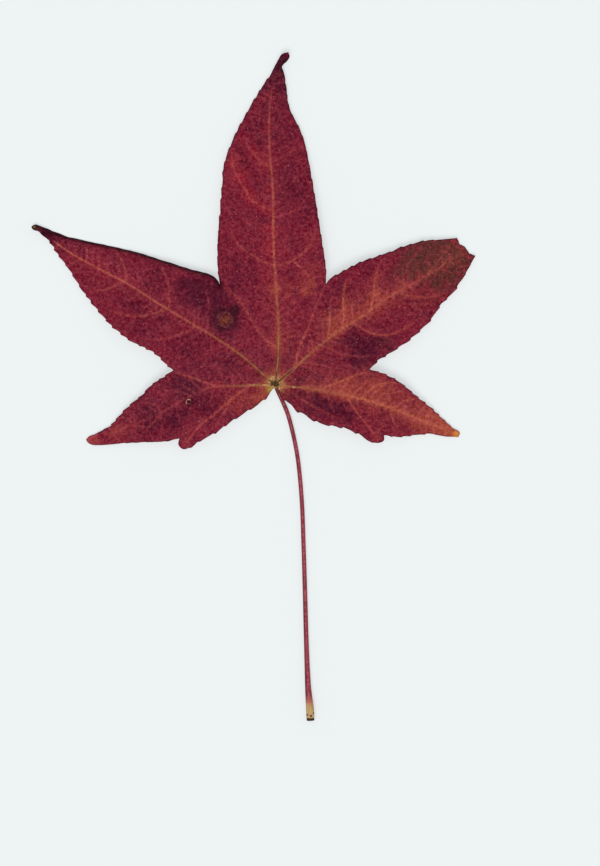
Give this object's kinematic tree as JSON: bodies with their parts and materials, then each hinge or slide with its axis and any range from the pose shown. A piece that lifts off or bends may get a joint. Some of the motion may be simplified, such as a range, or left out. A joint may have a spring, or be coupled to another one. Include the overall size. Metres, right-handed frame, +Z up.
{
  "type": "sweetgum leaf",
  "caption": "Pressed autumn leaf with five pointed lobes, raised veins underneath and a long thin stalk, lying flat.",
  "frame": {"origin": "the flat spot under the hub, where the stalk meets the blade, on the surface that the leaf lies on", "axes": "+Y from the hub up the middle lobe, +X to the lobes on the right, +Z up out of the leaf's upper side"},
  "size_m": [0.1519, 0.2288, 0.0041],
  "materials": {
    "leaf": "satin"
  },
  "bodies": {
    "root": {"leaf": "leaf"}
  },
  "joints": []
}
